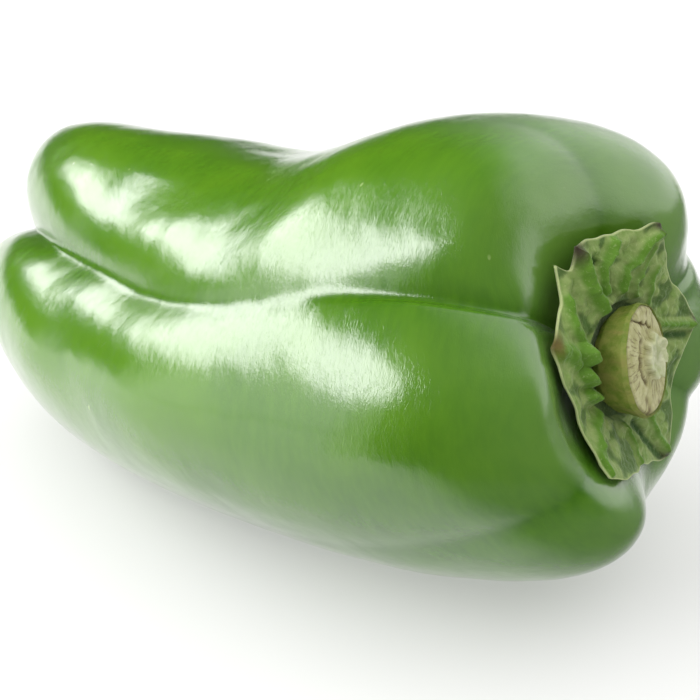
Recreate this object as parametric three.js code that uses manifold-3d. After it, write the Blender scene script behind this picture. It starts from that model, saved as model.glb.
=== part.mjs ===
import * as THREE from "three";
import { mergeVertices } from "three/addons/utils/BufferGeometryUtils.js";
import Module from "manifold-3d";

const wasm = await Module();
wasm.setup();

// A green bell pepper lying on its side, in millimetres and degrees.
// X runs from the blossom end to the stem end, Y from the front to the back, and Z is up.
// Angles round the fruit start at the top, 0, and go over the front, 90, to the underside, 180,
// and the back, 270.

// Fruit: its length, its bent axis from the stem end to the blossom end, and how square its ends are
const HALF_LENGTH = 63;
const MIDDLE_X = -3.5;
const AXIS_Y = [5.4, 1.05, -2.2, -2, 0.45];
const AXIS_Z = [40.95, 35.6, 31.4, 29.9, 29.3];
const STEM_END_SQUARENESS = 4.5;
const BLOSSOM_END_SQUARENESS = 3.6;
const STEM_END_LEAN = { y: 0.05, z: -0.22 };

// Lobes: each starts at a crease, given from the stem end to the blossom end by its angle, by its depth as
// a share of the radius, and by how sharp it is. The ridge is the radius of the lobe along the same way.
// Shoulder and nose are how far the lobe stands past the common length at the two ends.
const LOBES = [
  {
    crease: [-2, -7, -9, -30, -59], depth: [0.12, 0, 0.04, 0.02, 0.04], sharpness: [1.8, 1.8, 2.3],
    ridge: [43.5, 36.2, 32.7, 28.4, 27.1, 28.5, 31.4], shoulder: -3, nose: 3.5,
  },
  {
    crease: [55, 57, 62.5, 59, 58], depth: [0.34, 0.17, 0.16, 0.23, 0.32], sharpness: [2.1, 2.5, 2.7],
    ridge: [43.3, 40.4, 38.8, 37, 33.7, 30.3, 25], shoulder: 2.5, nose: 4.5,
  },
  {
    crease: [114, 122.5, 124.5, 121.5, 114], depth: [0.14, 0.03, 0.01, 0, 0.06], sharpness: [1.9, 2, 2.2],
    ridge: [39.4, 36.9, 35.4, 34.1, 33.4, 32.6, 33.2], shoulder: 8, nose: 0.5,
  },
  {
    crease: [177.5, 165.5, 159, 163, 172.5], depth: [0.16, 0.07, 0.05, 0.11, 0.21],
    sharpness: [1.6, 1.9, 2.2],
    ridge: [39.5, 37.5, 35.5, 32.5, 29.5, 26.5, 24.5], shoulder: -0.5, nose: -4,
  },
  {
    crease: [235, 222, 212.5, 209.5, 210.5], depth: [0.11, 0.05, 0.02, 0, 0], sharpness: [3, 2.2, 2.2],
    ridge: [40.5, 38, 34.5, 31.5, 29, 27, 25], shoulder: 0.5, nose: -4,
  },
  {
    crease: [281, 251, 234, 236, 244], depth: [0.01, 0.01, 0.08, 0.16, 0.25], sharpness: [2.2, 2.2, 2.2],
    ridge: [36, 36.5, 35, 32.5, 30, 28, 25.5], shoulder: -1, nose: -4,
  },
  {
    crease: [284.5, 305, 305, 289, 265], depth: [0.06, 0.01, 0, 0.03, 0.06], sharpness: [1.8, 2.2, 2.2],
    ridge: [40, 38, 34.6, 29.4, 28.8, 25.8, 23.6], shoulder: 2.5, nose: -1.5,
  },
];
// How far a crease dips into either end, and between which shares of the end's radius it grows
const CREASE_DIP = { stem: 13, blossom: 33, from: 0.05, to: 0.6 };
const REACH_GROWS_TO = 0.7;
const STEM_HOLLOW = { depth: 9, width: 0.42 };
const BLOSSOM_HOLLOW = { depth: 9, width: 0.3 };
const FRUIT_ROWS = 44;
const LOBE_COLUMNS = 10;

// Stem seat: the place on the stem end that the calyx and the stem are measured from, by its height over
// the floor of the hollow and by how far it is moved up and to the front from the hollow's middle
const SEAT = { out: 1.35, up: -0.3, front: 1.4 };

// Calyx: a leafy cap with six points, lying over the hollow of the stem end. The rim goes round from the
// top point over the back. Each point is followed by the middle of the hollow edge that leads to the next
// one, and each has its angle, its reach from the seat's middle and its height over the seat.
const CALYX_RIM = [
  { point: { angle: 20, reach: 21, height: 4.8 }, edge: { angle: -5, reach: 18.6, height: 5.2 } },
  { point: { angle: -29, reach: 19.8, height: 7.6 }, edge: { angle: -57, reach: 15.2, height: 6.4 } },
  { point: { angle: -93, reach: 18.8, height: 6.4 }, edge: { angle: -123, reach: 15, height: 5.2 } },
  { point: { angle: -156, reach: 21, height: 6 }, edge: { angle: -192, reach: 15.6, height: 8 } },
  { point: { angle: -229, reach: 17.4, height: 9.8 }, edge: { angle: -262, reach: 14.6, height: 7.2 } },
  { point: { angle: -297, reach: 18, height: 5.6 }, edge: { angle: -320, reach: 16.2, height: 4 } },
];
const CALYX_POINT_SHARPNESS = 1.7;
const CALYX_CLEARANCE = 0.5;
const CALYX_BLADE = { heart: 1.4, rim: 0.8 };
const CALYX_HEART_HEIGHT = 5.2;
const CALYX_DISHING = 1.3;
const CALYX_BOSS = { radius: 8.2, height: 4.2, shoulder: 0.5 };
const CALYX_RIB = { height: 0.8, width: 1.5 };
const CALYX_PUCKER = { height: 0.8, round: 17, outward: 1.25 };
const CALYX_RELIEF = { growsTo: 0.2, fadesFrom: 0.6 };
const CALYX_RINGS = 10;
const CALYX_COLUMNS = 90;

// Stem: a short oval stub, cut off at a slant, with the pith standing up in the middle of its cut
const STEM_GAP = 0.3;
const STEM_FOOT = { up: 7.8, front: 7.4 };
const STEM_CUT = {
  up: 8.3, front: 7.6, height: 9.2, middleUp: 0.2, middleFront: -0.6, slantUp: 0.1, slantFront: -0.22,
};
const STEM_PITH = { share: 0.36, height: 1.2, footShare: 0.48, footHeight: 0.3 };
const STEM_EDGE = { foot: 0.94, bulge: 1.04, middle: 1.01, cut: 0.94 };
const STEM_SIDES = 36;

// The flat that the fruit has where it rests on the ground
const GROUND_CUTTER = { size: 90, depth: 10 };

const COLOURS = { fruit: 0x3f7a16, calyx: 0x8ba552, stem: 0xb3b277 };

const radians = THREE.MathUtils.degToRad;
const smoothstep = THREE.MathUtils.smoothstep;
const lerp = THREE.MathUtils.lerp;

// A smooth line through values spaced evenly over 0 to 1
function along(values, place) {
  const last = values.length - 1;
  const start = Math.min(Math.floor(place * last), last - 1);
  const t = place * last - start;
  const before = values[Math.max(start - 1, 0)];
  const a = values[start];
  const b = values[start + 1];
  const after = values[Math.min(start + 2, last)];
  const curve = 2 * before - 5 * a + 4 * b - after;
  return 0.5 * (2 * a + (b - before) * t + curve * t ** 2 + (3 * a - before - 3 * b + after) * t ** 3);
}

const lobeAt = (index) => LOBES[(index + LOBES.length) % LOBES.length];

function creaseAngle(index, place) {
  const turns = Math.floor(index / LOBES.length);
  return along(lobeAt(index).crease, place) + 360 * turns;
}

const lobeMiddle = (index, place) => (creaseAngle(index, place) + creaseAngle(index + 1, place)) / 2;

// A point of the skin: on a lobe, at a share of the way from its crease to the next, and at an angle of the
// lengthwise section, which is 0 at the stem end and 180 at the blossom end
function skinPoint(lobe, share, sectionAngle) {
  const cosine = Math.cos(radians(sectionAngle));
  const sine = Math.sin(radians(sectionAngle));
  const squareness = cosine > 0 ? STEM_END_SQUARENESS : BLOSSOM_END_SQUARENESS;
  const swell = (Math.abs(cosine) ** squareness + Math.abs(sine) ** squareness) ** (-1 / squareness);
  const end = swell * cosine;
  const width = swell * sine;
  const place = (1 - end) / 2;

  const first = creaseAngle(lobe, place);
  const angle = first + share * (creaseAngle(lobe + 1, place) - first);
  const middle = lobeMiddle(lobe, place);
  const neighbour = angle < middle ? lobe - 1 : lobe + 1;
  const blend = smoothstep((angle - middle) / (lobeMiddle(neighbour, place) - middle), 0, 1);
  const own = lobeAt(lobe);
  const next = lobeAt(lobe + 1);
  const beside = lobeAt(neighbour);

  const nearFirst = (1 - share) ** along(own.sharpness, place);
  const nearNext = share ** along(next.sharpness, place);
  const groove = (at) => nearFirst * at(own.depth) + nearNext * at(next.depth);
  const depth = groove((depths) => along(depths, place));
  const radius = lerp(along(own.ridge, place), along(beside.ridge, place), blend) * width * (1 - depth);
  const y = -radius * Math.sin(radians(angle));
  const z = radius * Math.cos(radians(angle));

  const atStem = cosine > 0;
  const reach = atStem ? lerp(own.shoulder, beside.shoulder, blend) : lerp(own.nose, beside.nose, blend);
  const dipAt = atStem ? CREASE_DIP.stem : CREASE_DIP.blossom;
  const dip = dipAt * groove((depths) => depths.at(atStem ? 0 : -1));
  const lean = atStem ? STEM_END_LEAN.y * y + STEM_END_LEAN.z * z : 0;
  const hollow = atStem ? STEM_HOLLOW : BLOSSOM_HOLLOW;
  const reached = reach * smoothstep(width, 0, REACH_GROWS_TO);
  const dipped = dip * smoothstep(width, CREASE_DIP.from, CREASE_DIP.to);
  const length = HALF_LENGTH + reached - dipped + lean;
  const x = end * (length - hollow.depth * Math.exp(-((width / hollow.width) ** 2)));
  return new THREE.Vector3(MIDDLE_X + x, along(AXIS_Y, place) + y, along(AXIS_Z, place) + z);
}

// A closed body from a point at either end and rows of points that go round between them, faces out when each
// row turns counterclockwise seen from the first point
function closedBody(firstPoint, rows, lastPoint) {
  const count = rows[0].length;
  const points = [firstPoint, ...rows.flat(), lastPoint];
  const faces = [];
  const at = (row, column) => 1 + row * count + (column % count);
  for (let column = 0; column < count; column++) {
    faces.push(0, at(0, column), at(0, column + 1));
    for (let row = 0; row < rows.length - 1; row++) {
      const a = at(row, column);
      const b = at(row, column + 1);
      const c = at(row + 1, column + 1);
      const d = at(row + 1, column);
      faces.push(a, c, b, a, d, c);
    }
    faces.push(points.length - 1, at(rows.length - 1, column + 1), at(rows.length - 1, column));
  }
  const geometry = new THREE.BufferGeometry().setFromPoints(points);
  geometry.setIndex(faces);
  return geometry;
}

function solidOf(geometry) {
  const bare = geometry.clone();
  bare.deleteAttribute("normal");
  bare.deleteAttribute("uv");
  const merged = mergeVertices(bare);
  const vertProperties = new Float32Array(merged.attributes.position.array);
  const triVerts = new Uint32Array(merged.index.array);
  return new wasm.Manifold(new wasm.Mesh({ numProp: 3, vertProperties, triVerts }));
}

function geometryOf(solid) {
  const mesh = solid.getMesh();
  const geometry = new THREE.BufferGeometry();
  geometry.setAttribute("position", new THREE.BufferAttribute(mesh.vertProperties, 3));
  geometry.setIndex(new THREE.BufferAttribute(mesh.triVerts, 1));
  return geometry;
}

function fruitGeometry() {
  const rows = [];
  for (let row = 1; row < FRUIT_ROWS; row++) {
    const points = [];
    for (let lobe = 0; lobe < LOBES.length; lobe++) {
      for (let column = 0; column < LOBE_COLUMNS; column++) {
        points.push(skinPoint(lobe, column / LOBE_COLUMNS, (180 * row) / FRUIT_ROWS));
      }
    }
    rows.push(points);
  }
  const whole = closedBody(skinPoint(0, 0, 0), rows, skinPoint(0, 0, 180));
  const cutter = new THREE.BoxGeometry(GROUND_CUTTER.size, GROUND_CUTTER.size, GROUND_CUTTER.depth);
  cutter.translate(0, 0, -GROUND_CUTTER.depth / 2);
  return geometryOf(solidOf(whole).subtract(solidOf(cutter)));
}

// The stem end's own frame: outward is along the stem, upward and frontward lie in the seat
const outward = new THREE.Vector3(1, -STEM_END_LEAN.y, -STEM_END_LEAN.z).normalize();
const upward = new THREE.Vector3(0, 0, 1).projectOnPlane(outward).normalize();
const frontward = new THREE.Vector3().crossVectors(outward, upward);

function seatPoint(up, front, height) {
  return skinPoint(0, 0, 0)
    .addScaledVector(upward, SEAT.up + up)
    .addScaledVector(frontward, SEAT.front + front)
    .addScaledVector(outward, SEAT.out + height);
}

// The height of the skin over the seat, as the highest of five places close together
function skinHeight(fruit, up, front) {
  const probe = 1;
  const far = 60;
  const places = [[0, 0], [probe, 0], [-probe, 0], [0, probe], [0, -probe]];
  const heights = places.map(([higher, further]) => {
    const from = seatPoint(up + higher, front + further, far);
    const hit = new THREE.Raycaster(from, outward.clone().negate()).intersectObject(fruit)[0];
    return far - hit.distance;
  });
  return Math.max(...heights);
}

const wholeTurn = (angle) => ((angle % 360) + 360) % 360;

// The calyx's rim at an angle: its reach, its height, and how many degrees it is from the nearest point
function calyxRim(angle) {
  const stations = CALYX_RIM.flatMap(({ point, edge }) => [point, edge]);
  const index = stations.findIndex((station, at) => {
    const next = stations[(at + 1) % stations.length];
    return wholeTurn(station.angle - angle) < wholeTurn(station.angle - next.angle);
  });
  const from = stations[index];
  const to = stations[(index + 1) % stations.length];
  const span = wholeTurn(from.angle - to.angle);
  const passed = wholeTurn(from.angle - angle) / span;
  const leavesPoint = index % 2 === 0;
  const [point, edge] = leavesPoint ? [from, to] : [to, from];
  const share = leavesPoint ? passed : 1 - passed;
  return {
    reach: edge.reach + (point.reach - edge.reach) * (1 - share) ** CALYX_POINT_SHARPNESS,
    height: lerp(point.height, edge.height, smoothstep(share, 0, 1)),
    fromPoint: share * span,
  };
}

// The crinkles of the leaf: a rib out to every point, and puckers between the ribs
function calyxRelief(radius, angle, fromPoint, outness) {
  const rib = CALYX_RIB.height * Math.exp(-(((radians(fromPoint) * radius) / CALYX_RIB.width) ** 2));
  const wave = Math.sin(CALYX_PUCKER.round * radians(angle)) * Math.sin(CALYX_PUCKER.outward * radius);
  const pucker = (CALYX_PUCKER.height / 2) * (1 + wave);
  const fade = 1 - smoothstep(outness, CALYX_RELIEF.fadesFrom, 1);
  return (rib + pucker) * smoothstep(outness, 0, CALYX_RELIEF.growsTo) * fade;
}

// The under and upper height of the calyx on one ray out from the stem, from the boss to the rim
function calyxRay(fruit, angle) {
  const rim = calyxRim(angle);
  const stations = [];
  const add = (radius, heightsOver) => {
    const up = radius * Math.cos(radians(angle));
    const front = radius * Math.sin(radians(angle));
    const floor = skinHeight(fruit, up, front) + CALYX_CLEARANCE;
    const [low, high] = heightsOver(floor);
    stations.push({ under: seatPoint(up, front, low), upper: seatPoint(up, front, high) });
  };
  add(CALYX_BOSS.radius / 2, (floor) => [floor, CALYX_BOSS.height]);
  add(CALYX_BOSS.radius, (floor) => [floor, CALYX_BOSS.height]);
  const start = CALYX_BOSS.radius + CALYX_BOSS.shoulder;
  for (let ring = 0; ring <= CALYX_RINGS; ring++) {
    const outness = ring / CALYX_RINGS;
    const radius = lerp(start, rim.reach, outness);
    const blade = lerp(CALYX_BLADE.heart, CALYX_BLADE.rim, outness);
    const dish = lerp(CALYX_HEART_HEIGHT, rim.height, outness ** CALYX_DISHING);
    const relief = calyxRelief(radius, angle, rim.fromPoint, outness);
    add(radius, (floor) => {
      const low = Math.max(floor, dish - blade);
      return [low, low + blade + relief];
    });
  }
  return stations;
}

function calyxGeometry(fruit) {
  const rays = [];
  for (let column = 0; column < CALYX_COLUMNS; column++) {
    rays.push(calyxRay(fruit, (-360 * column) / CALYX_COLUMNS));
  }
  const rings = rays[0].map((_, ring) => ring);
  const under = rings.map((ring) => rays.map((ray) => ray[ring].under));
  const upper = rings.map((ring) => rays.map((ray) => ray[ring].upper));
  const lowest = seatPoint(0, 0, skinHeight(fruit, 0, 0) + CALYX_CLEARANCE);
  const highest = seatPoint(0, 0, CALYX_BOSS.height);
  return closedBody(lowest, [...under, ...upper.reverse()], highest);
}

// A ring of the stem between its foot and its cut, swollen or drawn in, and raised over its place
function stemRing(share, swell, raise) {
  const ring = [];
  for (let side = 0; side < STEM_SIDES; side++) {
    const angle = radians((-360 * side) / STEM_SIDES);
    const footUp = STEM_FOOT.up * swell * Math.cos(angle);
    const footFront = STEM_FOOT.front * swell * Math.sin(angle);
    const cutUp = STEM_CUT.up * swell * Math.cos(angle);
    const cutFront = STEM_CUT.front * swell * Math.sin(angle);
    const slant = STEM_CUT.slantUp * cutUp + STEM_CUT.slantFront * cutFront;
    const foot = seatPoint(footUp, footFront, CALYX_BOSS.height + STEM_GAP);
    const middle = [STEM_CUT.middleUp + cutUp, STEM_CUT.middleFront + cutFront];
    const cut = seatPoint(...middle, STEM_CUT.height - slant + raise);
    ring.push(foot.lerp(cut, share));
  }
  return ring;
}

function stemGeometry() {
  const rings = [
    stemRing(0, STEM_EDGE.foot, 0),
    stemRing(0.2, STEM_EDGE.bulge, 0),
    stemRing(0.5, STEM_EDGE.middle, 0),
    stemRing(0.85, 1, 0),
    stemRing(1, STEM_EDGE.cut, 0),
    stemRing(1, STEM_PITH.footShare, STEM_PITH.footHeight),
    stemRing(1, STEM_PITH.share, STEM_PITH.height),
  ];
  const lowest = seatPoint(0, 0, CALYX_BOSS.height + STEM_GAP);
  const highest = seatPoint(STEM_CUT.middleUp, STEM_CUT.middleFront, STEM_CUT.height + STEM_PITH.height);
  return closedBody(lowest, rings, highest);
}

function namedMesh(name, geometry, roughness) {
  geometry.computeVertexNormals();
  const material = new THREE.MeshStandardMaterial({ color: COLOURS[name], roughness, metalness: 0 });
  const mesh = new THREE.Mesh(geometry, material);
  mesh.name = name;
  return mesh;
}

const pepper = new THREE.Group();
const fruit = namedMesh("fruit", fruitGeometry(), 0.2);
pepper.add(fruit);
pepper.add(namedMesh("calyx", calyxGeometry(fruit), 0.6));
pepper.add(namedMesh("stem", stemGeometry(), 0.7));

export default pepper;
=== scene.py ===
from math import cos, pi, radians, sin, tan

import bpy
import numpy as np
from mathutils import Matrix, Vector
from mathutils.bvhtree import BVHTree


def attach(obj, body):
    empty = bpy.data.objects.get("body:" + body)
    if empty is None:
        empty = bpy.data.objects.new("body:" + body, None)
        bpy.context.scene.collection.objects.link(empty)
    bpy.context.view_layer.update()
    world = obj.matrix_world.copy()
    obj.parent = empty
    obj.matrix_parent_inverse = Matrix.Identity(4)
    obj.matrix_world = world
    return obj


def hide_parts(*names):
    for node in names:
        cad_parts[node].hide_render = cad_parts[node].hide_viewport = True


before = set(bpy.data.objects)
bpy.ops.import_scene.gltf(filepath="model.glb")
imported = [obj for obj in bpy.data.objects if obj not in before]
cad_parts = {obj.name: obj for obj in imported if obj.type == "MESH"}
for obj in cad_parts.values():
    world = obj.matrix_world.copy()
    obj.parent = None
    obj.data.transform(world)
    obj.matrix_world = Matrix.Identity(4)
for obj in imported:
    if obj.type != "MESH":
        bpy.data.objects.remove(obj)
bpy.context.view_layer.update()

# Camera
# It looks down on the stem end and the front of the pepper from close by, as the photograph does.
# Azimuth 0 looks along +Y, with +X to the right, and the roll turns the picture a little.
CAMERA_AZIMUTH = radians(39.64)
CAMERA_ELEVATION = radians(29.32)
CAMERA_ROLL = radians(-0.6)
CAMERA_DISTANCE = 0.2033
CAMERA_ANGLE = radians(28.81)
CAMERA_TARGET = Vector((0.02184, -0.01492, 0.03961))


def direction(azimuth, elevation):
    """The unit vector that points from the object towards an azimuth and an elevation."""
    level = cos(elevation)
    return Vector((sin(azimuth) * level, -cos(azimuth) * level, sin(elevation)))


camera_data = bpy.data.cameras.new("camera")
camera_data.sensor_width = 36
camera_data.angle = CAMERA_ANGLE
camera_data.clip_start = 0.01
camera_data.clip_end = 20
camera = bpy.data.objects.new("camera", camera_data)
bpy.context.scene.collection.objects.link(camera)
camera_back = direction(CAMERA_AZIMUTH, CAMERA_ELEVATION)
camera_right = Vector((cos(CAMERA_AZIMUTH), sin(CAMERA_AZIMUTH), 0))
camera_up = camera_back.cross(camera_right)
camera_axes = Matrix((camera_right, camera_up, camera_back)).transposed()
camera_turn = camera_axes @ Matrix.Rotation(CAMERA_ROLL, 3, "Z")
camera_place = CAMERA_TARGET + camera_back * CAMERA_DISTANCE
camera.matrix_world = Matrix.Translation(camera_place) @ camera_turn.to_4x4()
bpy.context.scene.camera = camera
bpy.context.scene.view_settings.view_transform = "Standard"

# Fruit
# The hollow, thick-walled berry, grown in one piece: a waxed skin over firm flesh, in seven uneven lobes
# that meet in creases. It lies on its side, and is a little flat where it rests.
HALF_LENGTH = 0.063
MIDDLE_X = -0.0035
AXIS_Y = [0.0054, 0.00105, -0.0022, -0.002, 0.00045]
AXIS_Z = [0.04095, 0.0356, 0.0314, 0.0299, 0.0293]
STEM_END_SQUARENESS = 4.5
BLOSSOM_END_SQUARENESS = 3.6
STEM_END_LEAN_Y = 0.05
STEM_END_LEAN_Z = -0.22
# Each lobe starts at a crease, given from the stem end to the blossom end by its angle, its depth and how
# sharp it is, and rises to a ridge. Its shoulder and its nose reach past the ends of the fruit by so much.
LOBES = [
    {"crease": [-2, -7, -9, -30, -59], "depth": [0.12, 0, 0.04, 0.02, 0.04], "sharpness": [1.8, 1.8, 2.3],
     "ridge": [0.0435, 0.0362, 0.0327, 0.0284, 0.0271, 0.0285, 0.0314], "shoulder": -0.003, "nose": 0.0035},
    {"crease": [55, 57, 62.5, 59, 58], "depth": [0.34, 0.17, 0.16, 0.23, 0.32], "sharpness": [2.1, 2.5, 2.7],
     "ridge": [0.0433, 0.0404, 0.0388, 0.037, 0.0337, 0.0303, 0.025], "shoulder": 0.0025, "nose": 0.0045},
    {"crease": [114, 122.5, 124.5, 121.5, 114], "depth": [0.14, 0.03, 0.01, 0, 0.06],
     "sharpness": [1.9, 2, 2.2],
     "ridge": [0.0394, 0.0369, 0.0354, 0.0341, 0.0334, 0.0326, 0.0332], "shoulder": 0.008, "nose": 0.0005},
    {"crease": [177.5, 165.5, 159, 163, 172.5], "depth": [0.16, 0.07, 0.05, 0.11, 0.21],
     "sharpness": [1.6, 1.9, 2.2],
     "ridge": [0.0395, 0.0375, 0.0355, 0.0325, 0.0295, 0.0265, 0.0245], "shoulder": -0.0005, "nose": -0.004},
    {"crease": [235, 222, 212.5, 209.5, 210.5], "depth": [0.11, 0.05, 0.02, 0, 0],
     "sharpness": [3, 2.2, 2.2],
     "ridge": [0.0405, 0.038, 0.0345, 0.0315, 0.029, 0.027, 0.025], "shoulder": 0.0005, "nose": -0.004},
    {"crease": [281, 251, 234, 236, 244], "depth": [0.01, 0.01, 0.08, 0.16, 0.25],
     "sharpness": [2.2, 2.2, 2.2],
     "ridge": [0.036, 0.0365, 0.035, 0.0325, 0.03, 0.028, 0.0255], "shoulder": -0.001, "nose": -0.004},
    {"crease": [284.5, 305, 305, 289, 265], "depth": [0.06, 0.01, 0, 0.03, 0.06],
     "sharpness": [1.8, 2.2, 2.2],
     "ridge": [0.04, 0.038, 0.0346, 0.0294, 0.0288, 0.0258, 0.0236], "shoulder": 0.0025, "nose": -0.0015},
]
CREASE_DIP_STEM = 0.013
CREASE_DIP_BLOSSOM = 0.033
CREASE_DIP_FROM = 0.05
CREASE_DIP_TO = 0.6
REACH_GROWS_TO = 0.7
STEM_HOLLOW = {"depth": 0.009, "width": 0.42}
BLOSSOM_HOLLOW = {"depth": 0.009, "width": 0.3}
SKIN_ROWS = 236
SKIN_COLUMNS = 400
SKIN_EVEN_ROUND = 1.6
SKIN_EVEN_LONG = 3.0
# The swells and dents of the lobes: place along X, angle, half length, half widths towards the lower and the
# higher angles, and height
SKIN_SWELLS = [
    (-0.027, 34, 0.008, 0.012, 0.012, -0.0007),
    (-0.008, 40, 0.008, 0.012, 0.012, 0.0008),
    (0.003, 56, 0.008, 0.005, 0.005, 0.0004),
    (0.013, 36, 0.004, 0.008, 0.008, 0.0003),
    (-0.032, 69, 0.009, 0.008, 0.008, -0.0009),
    (-0.032, 92, 0.009, 0.008, 0.008, 0.0008),
    (-0.014, 66, 0.009, 0.007, 0.007, -0.0006),
    (0.038, 58.5, 0.013, 0.0018, 0.007, 0.0016),
    (0, 86, 0.013, 0.01, 0.008, 0.0016),
    (-0.052, 66, 0.007, 0.008, 0.008, 0.0006),
    (-0.018, 300, 0.012, 0.01, 0.01, 0.0008),
    (0.012, 320, 0.01, 0.009, 0.009, -0.0007),
    (-0.005, 230, 0.012, 0.009, 0.009, 0.0008),
    (0.022, 252, 0.01, 0.01, 0.01, -0.0006),
]
SKIN_WAVES = [
    {"height": 0.00007, "length": 0.015, "count": 40, "seed": 7},
    {"height": 0.000022, "length": 0.005, "count": 60, "seed": 8},
]
SKIN_MEAN_RADIUS = 0.034
# The middle of the calyx's seat over the stem end, off the middle of the hollow
SEAT_OUT = 0.00135
SEAT_UP = -0.0003
SEAT_FRONT = 0.0014
# The low front shoulder comes up close round the calyx, and round it a pale veil is painted on the skin: a
# painted reflection of the pale room
COLLAR = {"up": -0.26, "front": 0.97, "reach": 0.0205, "width": 0.0045, "height": 0.0018}
COLLAR_SIDES = (0.1, 0.9)
STEM_END_PLACES = (0.12, 0.25)
PAINTED_VEIL_FROM = 0.02
PAINTED_VEIL_TO = 0.038


def along(values, place):
    """A smooth line through values spaced evenly over 0 to 1."""
    values = np.asarray(values, float)
    last = len(values) - 1
    start = np.minimum(np.floor(place * last).astype(int), last - 1)
    t = place * last - start
    before = values[np.maximum(start - 1, 0)]
    a = values[start]
    b = values[start + 1]
    after = values[np.minimum(start + 2, last)]
    curve = 2 * before - 5 * a + 4 * b - after
    return 0.5 * (2 * a + (b - before) * t + curve * t**2 + (3 * a - before - 3 * b + after) * t**3)


def smoothstep(value, low, high):
    share = np.clip((value - low) / (high - low), 0, 1)
    return share * share * (3 - 2 * share)


def lerp(a, b, share):
    return a + (b - a) * share


def crease_angle(index, place):
    turns = index // len(LOBES)
    return along(LOBES[index % len(LOBES)]["crease"], place) + 360 * turns


def lobe_middle(index, place):
    return (crease_angle(index, place) + crease_angle(index + 1, place)) / 2


def skin_points(section_angle, round_angle):
    """The skin's points, at angles of the lengthwise section, 0 at the stem end, and round the fruit."""
    cosine = np.cos(section_angle)
    sine = np.sin(section_angle)
    at_stem = cosine > 0
    squareness = np.where(at_stem, STEM_END_SQUARENESS, BLOSSOM_END_SQUARENESS)
    swell = (np.abs(cosine) ** squareness + np.abs(sine) ** squareness) ** (-1 / squareness)
    end = swell * cosine
    width = swell * sine
    place = (1 - end) / 2
    points = np.zeros(section_angle.shape + (3,))
    closeness = np.zeros(section_angle.shape)
    for lobe in range(-1, len(LOBES) + 1):
        first = crease_angle(lobe, place)
        following = crease_angle(lobe + 1, place)
        inside = (round_angle >= first) & (round_angle < following)
        share = np.clip((round_angle - first) / (following - first), 0, 1)
        middle = lobe_middle(lobe, place)
        towards_first = round_angle < middle
        neighbour_middle = np.where(towards_first, lobe_middle(lobe - 1, place), lobe_middle(lobe + 1, place))
        blend = smoothstep((round_angle - middle) / (neighbour_middle - middle), 0, 1)
        own = LOBES[lobe % len(LOBES)]
        following_lobe = LOBES[(lobe + 1) % len(LOBES)]
        before_lobe = LOBES[(lobe - 1) % len(LOBES)]

        def beside(measure):
            return np.where(towards_first, measure(before_lobe), measure(following_lobe))

        near_first = (1 - share) ** along(own["sharpness"], place)
        near_next = share ** along(following_lobe["sharpness"], place)
        depth = near_first * along(own["depth"], place) + near_next * along(following_lobe["depth"], place)
        ridge = lerp(along(own["ridge"], place), beside(lambda other: along(other["ridge"], place)), blend)
        radius = ridge * width * (1 - depth)
        angle = np.radians(round_angle)
        y = -radius * np.sin(angle)
        z = radius * np.cos(angle)
        shoulder = lerp(own["shoulder"], beside(lambda other: other["shoulder"]), blend)
        nose = lerp(own["nose"], beside(lambda other: other["nose"]), blend)
        stem_depth = near_first * own["depth"][0] + near_next * following_lobe["depth"][0]
        blossom_depth = near_first * own["depth"][-1] + near_next * following_lobe["depth"][-1]
        reach = np.where(at_stem, shoulder, nose)
        dip = np.where(at_stem, CREASE_DIP_STEM * stem_depth, CREASE_DIP_BLOSSOM * blossom_depth)
        lean = np.where(at_stem, STEM_END_LEAN_Y * y + STEM_END_LEAN_Z * z, 0)
        hollow_depth = np.where(at_stem, STEM_HOLLOW["depth"], BLOSSOM_HOLLOW["depth"])
        hollow_width = np.where(at_stem, STEM_HOLLOW["width"], BLOSSOM_HOLLOW["width"])
        reached = reach * smoothstep(width, 0, REACH_GROWS_TO)
        dipped = dip * smoothstep(width, CREASE_DIP_FROM, CREASE_DIP_TO)
        length = HALF_LENGTH + reached - dipped + lean
        x = end * (length - hollow_depth * np.exp(-((width / hollow_width) ** 2)))
        here = np.stack([MIDDLE_X + x, along(AXIS_Y, place) + y, along(AXIS_Z, place) + z], -1)
        points[inside] = here[inside]
        closeness[inside] = (np.maximum(near_first, near_next) ** 4)[inside]
    return points, closeness, place


def evened(grid, sigma, axis, wraps):
    """The grid blurred along one axis, past whose ends it either wraps round or goes on over the pole."""
    reach = int(3 * sigma) + 1
    weights = np.exp(-0.5 * (np.arange(-reach, reach + 1) / sigma) ** 2)
    weights /= weights.sum()
    if wraps:
        return sum(w * np.roll(grid, k - reach, axis) for k, w in enumerate(weights))
    half = grid.shape[1] // 2
    before = np.roll(grid[1 : reach + 1][::-1], half, 1)
    after = np.roll(grid[-reach - 1 : -1][::-1], half, 1)
    longer = np.concatenate([before, grid, after])
    return sum(w * longer[k : k + len(grid)] for k, w in enumerate(weights))


def waves(points, length, count, seed):
    """A smooth random field of about -1 to 1, as the sum of plane waves about one length long."""
    draw = np.random.default_rng(seed)
    total = np.zeros(points.shape[:-1])
    for _ in range(count):
        heading = draw.normal(size=3)
        heading *= 2 * pi / (length * draw.uniform(0.75, 1.4) * np.linalg.norm(heading))
        total += np.cos(points @ heading + draw.uniform(0, 2 * pi))
    return total / np.sqrt(count)


def swells(points, round_angle):
    """The height of all the swells and dents together at each point."""
    total = np.zeros(points.shape[:-1])
    for x, angle, half_length, half_width_before, half_width_after, height in SKIN_SWELLS:
        across = np.radians((round_angle - angle + 180) % 360 - 180) * SKIN_MEAN_RADIUS
        half_width = np.where(across < 0, half_width_before, half_width_after)
        total += height * np.exp(-(((points[..., 0] - x) / half_length) ** 2) - (across / half_width) ** 2)
    return total


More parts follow.
